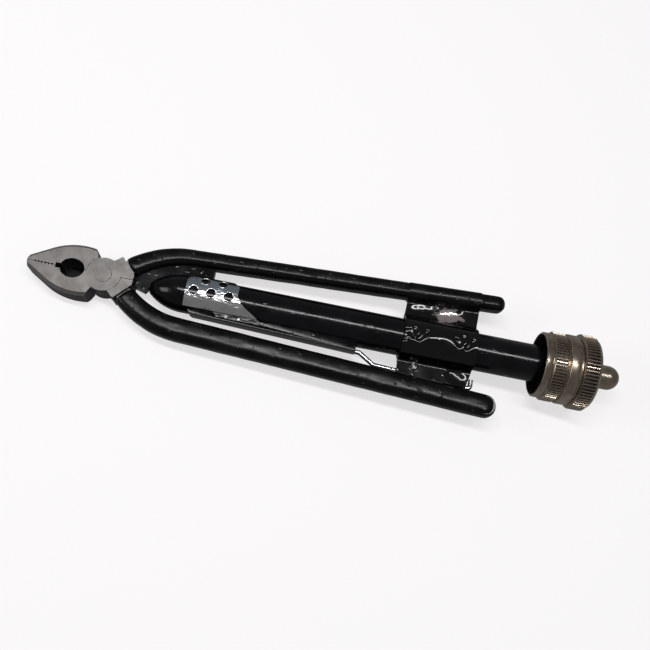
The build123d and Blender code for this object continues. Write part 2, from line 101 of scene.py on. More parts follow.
def ramp(tree, value, low, high, to_low=0.0, to_high=1.0):
    """A value spread from low..high to to_low..to_high, clamped."""
    node = tree.nodes.new("ShaderNodeMapRange")
    tree.links.new(value, node.inputs["Value"])
    node.inputs["From Min"].default_value = low
    node.inputs["From Max"].default_value = high
    node.inputs["To Min"].default_value = to_low
    node.inputs["To Max"].default_value = to_high
    return node.outputs["Result"]


def noise(tree, vector, scale, detail=3.0, roughness=0.5):
    """Noise whose scale is a number or a socket."""
    node = tree.nodes.new("ShaderNodeTexNoise")
    tree.links.new(vector, node.inputs["Vector"])
    if isinstance(scale, (int, float)):
        node.inputs["Scale"].default_value = scale
    else:
        tree.links.new(scale, node.inputs["Scale"])
    node.inputs["Detail"].default_value = detail
    node.inputs["Roughness"].default_value = roughness
    return node.outputs["Fac"]


def object_vector(tree, scale=(1, 1, 1)):
    """Object coordinates, stretched by a Mapping node."""
    coords = tree.nodes.new("ShaderNodeTexCoord")
    mapping = tree.nodes.new("ShaderNodeMapping")
    mapping.inputs["Scale"].default_value = scale
    tree.links.new(coords.outputs["Object"], mapping.inputs["Vector"])
    return mapping.outputs["Vector"]


EDGE_TURN = (0.995, 0.93)  # cosine from the true to the rounded normal, on an untouched and a worn edge
CHIP_RANGE = (0.42, 0.6)
GRIND_STRETCH = (400, 6000, 2000)
PIT_SCALE = 2600.0
PIT_RANGE = (0.28, 0.42)
MOTTLE_SCALE = 260.0
WAVE_STRETCH = (60, 160, 160)
PIMPLE_SCALE = 520.0
PIMPLE_RANGE = (0.66, 0.8)
SMUDGE_SCALE = 120.0


def build_edge_wear():
    """Mask that is 1 on sharp outer edges, broken up by noise."""
    group, given, result = new_group(
        "edge_wear",
        [("Radius", "NodeSocketFloat", 0.0006), ("Break Up", "NodeSocketFloat", 900.0)],
        [("Mask", "NodeSocketFloat")],
    )
    bevel = group.nodes.new("ShaderNodeBevel")
    bevel.samples = 4
    group.links.new(given.outputs["Radius"], bevel.inputs["Radius"])
    geometry = group.nodes.new("ShaderNodeNewGeometry")
    dot = group.nodes.new("ShaderNodeVectorMath")
    dot.operation = "DOT_PRODUCT"
    group.links.new(bevel.outputs["Normal"], dot.inputs[0])
    group.links.new(geometry.outputs["Normal"], dot.inputs[1])
    edge = ramp(group, dot.outputs["Value"], *EDGE_TURN)
    chips = noise(group, object_vector(group), given.outputs["Break Up"], detail=4.0, roughness=0.65)
    chips = ramp(group, chips, *CHIP_RANGE)
    group.links.new(math_node(group, "MULTIPLY", edge, chips), result.inputs["Mask"])
    return group


def build_grain():
    """Height of fine grinding marks along the tool and of pits, and a mottle for colour and gloss."""
    group, given, result = new_group(
        "ground_grain",
        [("Fine", "NodeSocketFloat", 1.0), ("Pits", "NodeSocketFloat", 1.0)],
        [("Height", "NodeSocketFloat"), ("Mottle", "NodeSocketFloat")],
    )
    lines = noise(group, object_vector(group, GRIND_STRETCH), 1.0, detail=3.0, roughness=0.6)
    pits = noise(group, object_vector(group), PIT_SCALE, detail=2.0, roughness=0.5)
    pits = ramp(group, pits, *PIT_RANGE)
    lines = math_node(group, "MULTIPLY", lines, given.outputs["Fine"])
    pits = math_node(group, "MULTIPLY", pits, given.outputs["Pits"])
    group.links.new(math_node(group, "ADD", lines, pits), result.inputs["Height"])
    mottle = noise(group, object_vector(group), MOTTLE_SCALE, detail=5.0, roughness=0.6)
    group.links.new(mottle, result.inputs["Mottle"])
    return group


def build_lumps():
    """Height of a thick dipped or brushed coat, with slow waves and small pimples, and a mask of smudges."""
    group, given, result = new_group(
        "coat_lumps",
        [("Waves", "NodeSocketFloat", 1.0), ("Pimples", "NodeSocketFloat", 1.0)],
        [("Height", "NodeSocketFloat"), ("Smudge", "NodeSocketFloat")],
    )
    waves = noise(group, object_vector(group, WAVE_STRETCH), 1.0, detail=2.0, roughness=0.4)
    pimples = noise(group, object_vector(group), PIMPLE_SCALE, detail=1.0, roughness=0.3)
    pimples = ramp(group, pimples, *PIMPLE_RANGE)
    waves = math_node(group, "MULTIPLY", waves, given.outputs["Waves"])
    pimples = math_node(group, "MULTIPLY", pimples, given.outputs["Pimples"])
    group.links.new(math_node(group, "ADD", waves, pimples), result.inputs["Height"])
    smudge = noise(group, object_vector(group), SMUDGE_SCALE, detail=5.0, roughness=0.6)
    group.links.new(smudge, result.inputs["Smudge"])
    return group


EDGE_WEAR = build_edge_wear()
GRAIN = build_grain()
LUMPS = build_lumps()


def place_group(tree, group, **values):
    """A shared effect placed in a material, with its own values."""
    node = tree.nodes.new("ShaderNodeGroup")
    node.node_tree = group
    for socket, value in values.items():
        node.inputs[socket.replace("_", " ")].default_value = value
    return node


def mix_colour(tree, factor, a, b):
    """Colour a where the factor is 0 and b where it is 1, each a colour or a socket."""
    node = tree.nodes.new("ShaderNodeMix")
    node.data_type = "RGBA"
    tree.links.new(factor, node.inputs["Factor"])
    for socket, value in (("A", a), ("B", b)):
        target = [s for s in node.inputs if s.name == socket and s.type == "RGBA"][0]
        if isinstance(value, tuple):
            target.default_value = (*value, 1.0)
        else:
            tree.links.new(value, target)
    return [s for s in node.outputs if s.type == "RGBA"][0]


def bump(tree, height, strength, distance):
    """A Bump node's normal for a height."""
    node = tree.nodes.new("ShaderNodeBump")
    node.inputs["Strength"].default_value = strength
    node.inputs["Distance"].default_value = distance
    tree.links.new(height, node.inputs["Height"])
    return node.outputs["Normal"]


def new_material(name):
    """A material with nodes, its tree and its Principled BSDF."""
    material = bpy.data.materials.new(name)
    material.use_nodes = True
    return material, material.node_tree, material.node_tree.nodes["Principled BSDF"]


MOTTLE_RANGE = (0.3, 0.7)
MOTTLE_DULLER, MOTTLE_BRIGHTER = 0.08, 0.05
GRAIN_RELIEF = (0.25, 0.00006)

SMUDGE_RANGE = (0.35, 0.7)
SMUDGE_GLOSS_RANGE = (0.3, 0.75)
SMUDGE_CLEARER = 0.03
DIP_RELIEF = (0.5, 0.0005)
ENAMEL_RELIEF = (0.3, 0.0004)

FORGED_METALLIC = 0.55
# how far a face turns to ±Z before it takes the pale flat colour instead of the darker side colour
GROUND_FACING = (0.35, 0.85)

RUBBED_PLACE = (0.1350, 0.0124, 0.0053)
RUBBED_STRETCH = (0.6, 1, 1)
RUBBED_REACH = 0.0078
RUBBED_RANGE = (0.93, 1.05)
RUBBED_METALLIC = 0.8
RUB_BREAK_STRETCH = (1, 1.6, 1)
RUB_BREAK_SCALE = 330.0

SLIDE_EDGE_Z = 0.0102
SLIDE_EDGE_BLEND = 0.0002
# painted reflection: a blue tint mixed into the slide's plating towards its +Y side, between these heights
SLIDE_REFLECTION_Y = (-0.002, 0.004)
SLIDE_REFLECTION_BLUE = (0.50, 0.58, 0.68)
SLIDE_BLACK = (0.002, 0.002, 0.002)
SLIDE_BLACK_ROUGHNESS = 0.3
SLIDE_DENT_STRETCH = (140, 330, 330)
SLIDE_RELIEF = (0.8, 0.0011)


def ground_surface(tree, shader, grain, roughness):
    """Gloss that follows the mottle, and the relief of the grinding marks and pits."""
    dull, bright = roughness + MOTTLE_DULLER, roughness - MOTTLE_BRIGHTER
    tree.links.new(ramp(tree, grain.outputs["Mottle"], *MOTTLE_RANGE, dull, bright), shader.inputs["Roughness"])
    tree.links.new(bump(tree, grain.outputs["Height"], *GRAIN_RELIEF), shader.inputs["Normal"])


def coat_surface(tree, shader, lumps, roughness, duller, relief):
    """Gloss that the smudges dull, and the relief of the waves and pimples."""
    clear, dull = roughness - SMUDGE_CLEARER, roughness + duller
    tree.links.new(ramp(tree, lumps.outputs["Smudge"], *SMUDGE_GLOSS_RANGE, clear, dull), shader.inputs["Roughness"])
    tree.links.new(bump(tree, lumps.outputs["Height"], *relief), shader.inputs["Normal"])


def steel_material(name, colour, dark, worn, roughness, fine, pits):
    """Bare or plated metal: mottled colour, bright worn edges, ground grain and pits."""
    material, tree, shader = new_material(name)
    shader.inputs["Metallic"].default_value = 1.0
    grain = place_group(tree, GRAIN, Fine=fine, Pits=pits)
    wear = place_group(tree, EDGE_WEAR, Radius=0.0005)
    mottle = ramp(tree, grain.outputs["Mottle"], *MOTTLE_RANGE)
    base = mix_colour(tree, mottle, dark, colour)
    tree.links.new(mix_colour(tree, wear.outputs["Mask"], base, worn), shader.inputs["Base Color"])
    ground_surface(tree, shader, grain, roughness)
    return material


def coat_material(name, colour, roughness, waves, pimples, gloss):
    """Thick black coat: deep colour, slow waves and pimples in the gloss, faint smudges."""
    material, tree, shader = new_material(name)
    lumps = place_group(tree, LUMPS, Waves=waves, Pimples=pimples)
    smudge = ramp(tree, lumps.outputs["Smudge"], *SMUDGE_RANGE)
    dusty = tuple(2.2 * c + 0.002 for c in colour)
    tree.links.new(mix_colour(tree, smudge, colour, dusty), shader.inputs["Base Color"])
    shader.inputs["Specular IOR Level"].default_value = gloss
    coat_surface(tree, shader, lumps, roughness, 0.10, DIP_RELIEF)
    return material


def forged_material(name, top, dark, scale, roughness):
    """Ground forging: pale flat faces with fine marks, and a darker colour on the faces turned to the sides."""
    material, tree, shader = new_material(name)
    shader.inputs["Metallic"].default_value = FORGED_METALLIC
    grain = place_group(tree, GRAIN, Fine=0.7, Pits=0.6)
    wear = place_group(tree, EDGE_WEAR, Radius=0.0004)
    mottle = ramp(tree, grain.outputs["Mottle"], *MOTTLE_RANGE)
    ground = mix_colour(tree, mottle, dark, top)
    coords = tree.nodes.new("ShaderNodeTexCoord")
    parts = tree.nodes.new("ShaderNodeSeparateXYZ")
    tree.links.new(coords.outputs["Normal"], parts.inputs[0])
    facing = ramp(tree, math_node(tree, "ABSOLUTE", parts.outputs["Z"]), *GROUND_FACING)
    # faces turned to the sides take the darker colour given as scale
    base = mix_colour(tree, facing, scale, ground)
    worn = tuple(1.5 * c for c in top)
    tree.links.new(mix_colour(tree, wear.outputs["Mask"], base, worn), shader.inputs["Base Color"])
    ground_surface(tree, shader, grain, roughness)
    return material


def worn_enamel_material(name, colour, bare, roughness):
    """The plate's enamel, rubbed down to bright metal in one dented patch."""
    material, tree, shader = new_material(name)
    lumps = place_group(tree, LUMPS, Waves=0.3, Pimples=0.3)
    away = tree.nodes.new("ShaderNodeVectorMath")
    away.operation = "DISTANCE"
    tree.links.new(object_vector(tree, RUBBED_STRETCH), away.inputs[0])
    away.inputs[1].default_value = tuple(a * b for a, b in zip(RUBBED_PLACE, RUBBED_STRETCH))
    reach = ramp(tree, away.outputs["Value"], 0.0, RUBBED_REACH, 0.75, 0.0)
    broken = noise(tree, object_vector(tree, RUB_BREAK_STRETCH), RUB_BREAK_SCALE, detail=5.0, roughness=0.7)
    mask = ramp(tree, math_node(tree, "ADD", reach, broken), *RUBBED_RANGE)
    tree.links.new(mix_colour(tree, mask, colour, bare), shader.inputs["Base Color"])
    tree.links.new(math_node(tree, "MULTIPLY", mask, RUBBED_METALLIC), shader.inputs["Metallic"])
    shader.inputs["Specular IOR Level"].default_value = 0.5
    coat_surface(tree, shader, lumps, roughness, 0.08, ENAMEL_RELIEF)
    return material


def slide_material(name, bright, shade, roughness):
    """The thumb slide's plating: soft dents along it, a painted blue reflection on its +Y side, and black below its
    rolled edge.
    """
    material, tree, shader = new_material(name)
    grain = place_group(tree, GRAIN, Fine=0.25, Pits=0.2)
    coords = tree.nodes.new("ShaderNodeTexCoord")
    parts = tree.nodes.new("ShaderNodeSeparateXYZ")
    tree.links.new(coords.outputs["Object"], parts.inputs[0])
    plated = ramp(tree, parts.outputs["Z"], SLIDE_EDGE_Z, SLIDE_EDGE_Z + SLIDE_EDGE_BLEND)
    mottle = ramp(tree, grain.outputs["Mottle"], *MOTTLE_RANGE)
    base = mix_colour(tree, mottle, shade, bright)
    # painted reflection: the +Y side of the slide is tinted blue
    base = mix_colour(tree, ramp(tree, parts.outputs["Y"], *SLIDE_REFLECTION_Y), base, SLIDE_REFLECTION_BLUE)
    tree.links.new(mix_colour(tree, plated, SLIDE_BLACK, base), shader.inputs["Base Color"])
    tree.links.new(plated, shader.inputs["Metallic"])
    tree.links.new(ramp(tree, plated, 0, 1, SLIDE_BLACK_ROUGHNESS, roughness), shader.inputs["Roughness"])
    dents = noise(tree, object_vector(tree, SLIDE_DENT_STRETCH), 1.0, detail=2.0, roughness=0.5)
    tree.links.new(bump(tree, dents, *SLIDE_RELIEF), shader.inputs["Normal"])
    return material


# scale is the darker colour of the faces turned to the sides
FORGED = forged_material(
    "forged_steel", top=(0.225, 0.214, 0.206), dark=(0.17, 0.161, 0.155), scale=(0.02, 0.0185, 0.019), roughness=0.42,
)
DIP = coat_material(
    "black_dip", colour=(0.0018, 0.0018, 0.002), roughness=0.21, waves=0.9, pimples=0.5, gloss=0.2,
)
ENAMEL = coat_material(
    "black_enamel", colour=(0.0012, 0.0012, 0.0018), roughness=0.13, waves=0.35, pimples=0.3, gloss=0.3,
)
BAR = coat_material(
    "brushed_enamel", colour=(0.001, 0.001, 0.0015), roughness=0.1, waves=0.0, pimples=0.1, gloss=0.15,
)
WORN_ENAMEL = worn_enamel_material(
    "worn_enamel", colour=(0.0012, 0.0012, 0.0018), bare=(0.55, 0.49, 0.48), roughness=0.1,
)
PLATE = steel_material(
    "bright_plate", colour=(0.72, 0.73, 0.75), dark=(0.5, 0.51, 0.54), worn=(0.9, 0.9, 0.9),
    roughness=0.16, fine=0.2, pits=0.3,
)
NICKEL = steel_material(
    "warm_nickel", colour=(0.50, 0.43, 0.35), dark=(0.26, 0.21, 0.16), worn=(0.6, 0.53, 0.45),
    roughness=0.23, fine=0.3, pits=0.4,
)
NICKEL_DARK = steel_material(
    "grimy_nickel", colour=(0.07, 0.05, 0.04), dark=(0.03, 0.02, 0.018), worn=(0.2, 0.18, 0.15),
    roughness=0.5, fine=0.3, pits=0.6,
)
SLIDE = slide_material(
    "dented_slide_plate", bright=(0.9, 0.9, 0.9), shade=(0.68, 0.69, 0.71), roughness=0.19,
)
BRASS = steel_material(
    "turned_brass", colour=(0.55, 0.39, 0.16), dark=(0.40, 0.27, 0.10), worn=(0.7, 0.55, 0.28),
    roughness=0.3, fine=0.5, pits=0.2,
)
DRAWN = steel_material(
    "drawn_steel", colour=(0.34, 0.34, 0.35), dark=(0.2, 0.2, 0.21), worn=(0.5, 0.5, 0.5),
    roughness=0.36, fine=0.7, pits=0.3,
)

FINISHES = {
    "forged_steel": FORGED,
    "black_dip": DIP,
    "black_enamel": ENAMEL,
    "bright_plate": PLATE,
    "brass_nut": BRASS,
    "drawn_steel": DRAWN,
    "warm_nickel": NICKEL,
}


def dress_cad_nodes():
    """Every CAD node takes the material of its slot in the record, and the thumb slide its own plating."""
    for subpart in frame["record"]["subparts"]:
        node = nodes[subpart["node"]]
        node.data.materials.clear()
        node.data.materials.append(FINISHES[subpart["material_slot"]])
    nodes["thumb_slide"].data.materials[0] = SLIDE


dress_cad_nodes()


# ---------------------------------------------------------------- modelling helpers
# New pieces are modelled in millimetres about the tool axis, then scaled down and raised to their place.

AXIS_HEIGHT = 5.0
MERGE = 0.001  # for pieces in millimetres
CAD_MERGE = 0.00001  # for copies of CAD nodes, which are in metres


def to_object_mode():
    """Leave edit mode, if a piece is in it."""
    if bpy.context.object and bpy.context.object.mode != "OBJECT":
        bpy.ops.object.mode_set(mode="OBJECT")


def take(piece):
    """Make one piece the only selected and active one."""
    to_object_mode()
    bpy.ops.object.select_all(action="DESELECT")
    piece.select_set(True)
    bpy.context.view_layer.objects.active = piece


def edit(piece, kind):
    """Put one piece in edit mode with all of it selected."""
    take(piece)
    bpy.ops.object.mode_set(mode="EDIT")
    bpy.ops.mesh.select_mode(type=kind)
    bpy.ops.mesh.select_all(action="SELECT")


def pick_faces(piece, test):
    """In edit mode, select only the faces that pass the test of centre and normal."""
    mesh = bmesh.from_edit_mesh(piece.data)
    mesh.normal_update()
    bpy.ops.mesh.select_mode(type="FACE")
    bpy.ops.mesh.select_all(action="DESELECT")
    for face in mesh.faces:
        face.select_set(bool(test(face.calc_center_median(), face.normal)))
    bmesh.update_edit_mesh(piece.data)


def pick_points(piece, test):
    """In edit mode, select only the vertices whose place passes the test."""
    mesh = bmesh.from_edit_mesh(piece.data)
    bpy.ops.mesh.select_mode(type="VERT")
    bpy.ops.mesh.select_all(action="DESELECT")
    for point in mesh.verts:
        point.select_set(bool(test(point.co)))
    mesh.select_flush_mode()
    bmesh.update_edit_mesh(piece.data)


def paint_faces(piece, index):
    """Give the selected faces the material slot with that index."""
    mesh = bmesh.from_edit_mesh(piece.data)
    for face in mesh.faces:
        if face.select:
            face.material_index = index
    bmesh.update_edit_mesh(piece.data)


def apply_modifier(piece, kind, **settings):
    """Add a modifier with its settings and apply it."""
    take(piece)
    modifier = piece.modifiers.new(kind.title(), kind)
    for setting, value in settings.items():
        setattr(modifier, setting, value)
    bpy.ops.object.modifier_apply(modifier=modifier.name)


def finish_piece(piece, name, body, finishes, replaced=(), smooth_angle=35):
    """Scale a millimetre model down, raise it to the tool axis, and put it on its body."""
    edit(piece, "VERT")
    bpy.ops.mesh.remove_doubles(threshold=MERGE)
    bpy.ops.mesh.normals_make_consistent(inside=False)
    to_object_mode()
    piece.name = name
    piece.location = (0, 0, AXIS_HEIGHT * MM)
    piece.scale = (MM, MM, MM)
    bpy.ops.object.transform_apply(location=True, rotation=True, scale=True)
    bpy.ops.object.shade_smooth_by_angle(angle=radians(smooth_angle))
    for finish in finishes:
        piece.data.materials.append(finish)
    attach(piece, body)
    if replaced:
        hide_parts(*replaced)
    to_object_mode()
    bpy.ops.object.select_all(action="DESELECT")
    return piece


def turn_about_z(angle, centre):
    """Turn what is selected about Z, anticlockwise seen from above."""
    bpy.ops.transform.rotate(value=-angle, orient_axis="Z", center_override=centre)


def turned(sides, profile):
    """A shape turned about the tool axis, with a ring at each (x, radius) of a profile that ends where it starts."""
    x, radius = profile[0]
    bpy.ops.mesh.primitive_circle_add(vertices=sides, radius=radius, location=(x, 0, 0), rotation=(0, pi / 2, 0))
    piece = bpy.context.object
    bpy.ops.object.transform_apply(location=True, rotation=True, scale=True)
    edit(piece, "EDGE")
    for (x0, r0), (x1, r1) in zip(profile, profile[1:]):
        bpy.ops.mesh.extrude_region_move(TRANSFORM_OT_translate={"value": (x1 - x0, 0, 0)})
        bpy.ops.transform.resize(value=(1, r1 / r0, r1 / r0), center_override=(x1, 0, 0))
    bpy.ops.mesh.select_all(action="SELECT")
    bpy.ops.mesh.remove_doubles(threshold=MERGE)
    bpy.ops.mesh.normals_make_consistent(inside=False)
    return piece


# ---------------------------------------------------------------- pull knob

KNOB_RIBS = 68
KNOB_PROFILE = (
    (172.0, 12.1), (172.0, 12.6), (172.35, 12.95), (174.6, 12.95), (174.95, 12.75), (175.2, 13.2), (175.45, 13.4),
    (179.95, 13.4), (180.2, 13.1), (180.5, 12.9), (181.1, 12.9), (181.35, 13.65), (181.7, 13.88), (185.1, 13.88),
    (185.45, 13.65), (185.6, 13.15), (186.2, 13.15), (186.5, 14.2), (186.8, 14.6), (192.0, 14.6), (192.5, 14.3),
    (193.3, 13.6), (193.5, 13.2), (193.5, 2.45), (190.0, 2.45), (190.0, 12.1), (172.0, 12.1),
)
KNURL_BANDS = ((175.45, 179.95), (186.8, 192.0))
KNURL_INNER_RADIUS = 13
RIB_INSET = 0.13
RIB_HEIGHT = 0.34


def build_pull_knob():
    """The turned knob cup, with raised straight ribs round its two knurled bands."""
    knob = turned(2 * KNOB_RIBS, KNOB_PROFILE)
    column = pi / KNOB_RIBS

    def on_band(centre, odd):
        """Whether a face is on a knurled band, in an even (0) or an odd (1) column."""
        in_band = any(low < centre.x < high for low, high in KNURL_BANDS)
        outside = Vector((0, centre.y, centre.z)).length > KNURL_INNER_RADIUS
        return in_band and outside and int(atan2(centre.z, centre.y) % (2 * pi) / column) % 2 == odd

    pick_faces(knob, lambda centre, normal: on_band(centre, 1))
    paint_faces(knob, 1)
    pick_faces(knob, lambda centre, normal: on_band(centre, 0))
    bpy.ops.mesh.inset(thickness=RIB_INSET, depth=RIB_HEIGHT, use_individual=True)
    finish_piece(knob, "ribbed_pull_knob", "spiral_drive", (NICKEL, NICKEL_DARK), ("pull_knob",), 40)


# ---------------------------------------------------------------- dipped handles

TANG = (8.6, 5.2)
TANG_ANGLE = radians(42)
TAIL_ANGLE = radians(2.9)
BOW_RADIUS = 37.7
BOW_STEPS = 13
TANG_HALF = 4.3
TIP_CENTRE_X = 153.5
STRAIGHT_STEPS = 24
GRIP_HALF_HEIGHT = 4.1
SECTION_CORNER = 0.74
SECTION_CORNER_STEPS = 5
TIP_STEPS = 5
TIP_LEFT_OPEN = 0.15  # part of the last step that a small flat face closes
RUNS_SIZE = 7.0
RUNS_DEPTH = 0.22


def handle_stations(side, half, tip_half):
    """Place, heading and half width of the handle at each step from the tang to the tip."""
    centre_x = TANG[0] + BOW_RADIUS * sin(TANG_ANGLE)
    centre_y = TANG[1] - BOW_RADIUS * cos(TANG_ANGLE)
    stations = []
    for step in range(BOW_STEPS + 1):
        share = step / BOW_STEPS
        heading = TANG_ANGLE + (TAIL_ANGLE - TANG_ANGLE) * share
        place = (centre_x - BOW_RADIUS * sin(heading), centre_y + BOW_RADIUS * cos(heading))
        stations.append((place, heading, TANG_HALF + (half - TANG_HALF) * share))
    (bow_x, bow_y), heading, _ = stations[-1]
    for step in range(1, STRAIGHT_STEPS + 1):
        share = step / STRAIGHT_STEPS
        x = bow_x + (TIP_CENTRE_X - bow_x) * share
        stations.append(((x, bow_y + (x - bow_x) * tan(heading)), heading, half + (tip_half - half) * share))
    return [((x, side * y), side * heading, width) for (x, y), heading, width in stations]


def build_handle(side, half, tip_half, name, body, replaced):
    """One dipped handle: a rounded square carried round the bow and down the straight to a rounded tip."""
    stations = handle_stations(side, half, tip_half)
    (x, y), heading, width = stations[0]
    bpy.ops.mesh.primitive_plane_add(size=2, location=(x, y, 0), rotation=(0, pi / 2, 0))
    handle = bpy.context.object
    bpy.ops.object.transform_apply(location=True, rotation=True, scale=True)
    edit(handle, "VERT")
    bpy.ops.mesh.bevel(offset=SECTION_CORNER, segments=SECTION_CORNER_STEPS, affect="VERTICES", clamp_overlap=False)
    bpy.ops.mesh.select_all(action="SELECT")
    bpy.ops.mesh.delete(type="ONLY_FACE")
    bpy.ops.mesh.select_all(action="SELECT")
    bpy.ops.transform.resize(value=(1, width, GRIP_HALF_HEIGHT), center_override=(x, y, 0))
    turn_about_z(heading, (x, y, 0))
    for ((x0, y0), heading0, width0), ((x1, y1), heading1, width1) in zip(stations, stations[1:]):
        bpy.ops.mesh.extrude_region_move(TRANSFORM_OT_translate={"value": (x1 - x0, y1 - y0, 0)})
        turn_about_z(-heading0, (x1, y1, 0))
        bpy.ops.transform.resize(value=(1, width1 / width0, 1), center_override=(x1, y1, 0))
        turn_about_z(heading1, (x1, y1, 0))
    (x, y), heading, width = stations[-1]
    for step in range(1, TIP_STEPS + 1):
        last = (step - 1) * pi / 2 / TIP_STEPS
        now = min(step, TIP_STEPS - TIP_LEFT_OPEN) * pi / 2 / TIP_STEPS
        ahead = width * (sin(now) - sin(last))
        move = (ahead * cos(heading), ahead * sin(heading), 0)
        bpy.ops.mesh.extrude_region_move(TRANSFORM_OT_translate={"value": move})
        x, y = x + move[0], y + move[1]
        shrink = cos(now) / cos(last)
        bpy.ops.transform.resize(value=(shrink, shrink, shrink), center_override=(x, y, 0))
    bpy.ops.mesh.edge_face_add()
    edit(handle, "EDGE")
    bpy.ops.mesh.select_all(action="DESELECT")
    bpy.ops.mesh.select_non_manifold()
    bpy.ops.mesh.edge_face_add()
    bpy.ops.mesh.select_all(action="SELECT")
    bpy.ops.mesh.normals_make_consistent(inside=False)
    apply_modifier(handle, "SUBSURF", levels=2, render_levels=2)
    runs = bpy.data.textures.new(name + "_runs", "CLOUDS")
    runs.noise_scale = RUNS_SIZE
    apply_modifier(handle, "DISPLACE", texture=runs, strength=RUNS_DEPTH, mid_level=0.5, texture_coords="LOCAL")
    finish_piece(handle, name, body, (DIP,), (replaced,), 60)


# ---------------------------------------------------------------- copies of CAD nodes

def own_copy(node):
    """A copy of a CAD node that is free of the frame's marks and parent."""
    take(nodes[node])
    bpy.ops.object.duplicate()
    piece = bpy.context.object
    for key in [k for k in piece.keys() if k.startswith("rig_")]:
        del piece[key]
    piece.parent = None
    return piece


# ---------------------------------------------------------------- latch bar

BAR_ROUNDING = 0.8
BAR_ROUNDING_STEPS = 5
BAR_SHARP_ANGLE = 40


def build_latch_bar():
    """The latch bar with its loose triangles joined and its sharp edges rounded."""
    bar = own_copy("latch_bar")
    bar.data.materials.clear()
    edit(bar, "VERT")
    bpy.ops.mesh.customdata_custom_splitnormals_clear()
    bpy.ops.mesh.remove_doubles(threshold=CAD_MERGE)
    bpy.ops.mesh.dissolve_limited(angle_limit=radians(1))
    apply_modifier(
        bar, "BEVEL", width=BAR_ROUNDING * MM, segments=BAR_ROUNDING_STEPS, limit_method="ANGLE",
        angle_limit=radians(BAR_SHARP_ANGLE), harden_normals=False,
    )
    take(bar)
    bpy.ops.object.shade_smooth_by_angle(angle=radians(30))
    bar.name = "rounded_latch_bar"
    bar.data.materials.append(BAR)
    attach(bar, "latch")
    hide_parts("latch_bar")
    bpy.ops.object.select_all(action="DESELECT")


# ---------------------------------------------------------------- thumb slide hole rims

SLIDE_RADIUS = 7.95
HOLE_RADIUS = 1.9
HOLE_ROWS = ((1.0, (35.4, 42.2, 49.0)), (-36.0, (39.1, 45.9)))  # angle round the tube, and places along it
RIM_RADIUS = 0.24
RIM_SUNK = 0.12


def build_hole_rims():
    """A small rolled rim round each hole of the thumb slide."""
    rims = []
    out = SLIDE_RADIUS - RIM_SUNK
    for angle, places in HOLE_ROWS:
        tilt = radians(angle)
        for x in places:
            bpy.ops.object.select_all(action="DESELECT")
            bpy.ops.mesh.primitive_torus_add(
                major_radius=HOLE_RADIUS, minor_radius=RIM_RADIUS, major_segments=36, minor_segments=10,
                location=(x, -out * sin(tilt), out * cos(tilt)), rotation=(tilt, 0, 0),
            )
            rims.append(bpy.context.object)
    bpy.ops.object.select_all(action="DESELECT")
    for rim in rims:
        rim.select_set(True)
    bpy.ops.object.transform_apply(location=True, rotation=True, scale=True)
    bpy.ops.object.join()
    finish_piece(bpy.context.object, "slide_hole_rims", "latch", (PLATE,), (), 60)


# ---------------------------------------------------------------- return spring

def build_spring():
    """The spring as its own mesh, put on the front half in place of the CAD node."""
    spring = own_copy("return_spring")
    edit(spring, "VERT")
    bpy.ops.mesh.remove_doubles(threshold=CAD_MERGE)
    to_object_mode()
    bpy.ops.object.shade_smooth_by_angle(angle=radians(40))
    spring.name = "coiled_return_spring"
    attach(spring, "front_half")
    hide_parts("return_spring")
    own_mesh(spring)
    bpy.ops.object.select_all(action="DESELECT")


# ---------------------------------------------------------------- cross plate

PLATE_START = 117.5
PLATE_END = 146.5
PLATE_MIDDLE = (PLATE_START + PLATE_END) / 2
PLATE_OUT = 8.7
PLATE_TOP = 0.65
PLATE_SHEET = 1.0
PLATE_COLUMNS = 69
ARCH_ANGLE = 78
ARCH_STEP = 3
WING_ROOT_Y = -9.4
WING_EDGE_Y = -14.85
WING_SLANT = 1.4
HANDLE_MIDDLE_Y = 19.9
HANDLE_ROOT_Y = 15.4
WRAP_SECTION = ((-3.8, 1.6), (-3.3, 3.2), (-2.2, 4.2), (-0.8, 4.6), (0.8, 4.6), (2.2, 4.2), (3.1, 3.2), (3.5, 1.6))
ARCH_FOOT = 0.5
UPPER_SIDE_Z = 0.3  # what is pressed lies above this
ROW_LENGTH, ROW_CUTS = 3, 12
COLUMN_LENGTH = 9
WINDOW_CENTRE = (124.1, -10.6)
WINDOW_HALF = 1.4
STAKE_CORE, STAKE_REACH, STAKE_DEPTH = 0.45, 1.2, 0.75
STAKE_SOFTENED = 1.3
DENT_CORE = 0.6
STAKE_MARKS = (
    ((119.6, 0.7), (121.0, -1.3), (121.4, 1.8)),
    ((137.6, 0.5), (139.2, -1.3), (140.4, 2.1)),
    ((118.0, 0.4), (118.1, -2.4)),
    ((123.2, -1.8), (126.0, 1.0)),
    ((142.1, -1.6), (144.4, 1.0)),
)
DENTS = (  # line, reach and depth
    (((131.5, 11.6), (137.5, 13.2)), 3.4, 0.75),
    (((121.0, 11.5), (126.5, 12.6)), 2.4, 0.35),
    (((128.0, -4.5), (133.0, -3.0)), 3.5, 0.35),
    (((139.0, -11.0), (142.5, -12.8)), 2.8, 0.45),
)


def plate_line():
    """The plate's outer line across the tool: wing, arch over the tube, bridge, and wrap round the handle."""
    points = [(WING_EDGE_Y, PLATE_TOP), (WING_ROOT_Y, PLATE_TOP), (WING_ROOT_Y + ARCH_FOOT, PLATE_TOP + ARCH_FOOT)]
    for angle in range(-ARCH_ANGLE, ARCH_ANGLE + 1, ARCH_STEP):
        points.append((PLATE_OUT * sin(radians(angle)), PLATE_OUT * cos(radians(angle))))
    points.append((-WING_ROOT_Y - ARCH_FOOT, PLATE_TOP + ARCH_FOOT))
    points += [(-WING_ROOT_Y + 0.2, PLATE_TOP), (HANDLE_ROOT_Y, PLATE_TOP)]
    points += [(HANDLE_MIDDLE_Y + y, z) for y, z in WRAP_SECTION]
    points += [(HANDLE_MIDDLE_Y + y, -z) for y, z in reversed(WRAP_SECTION)]
    return points


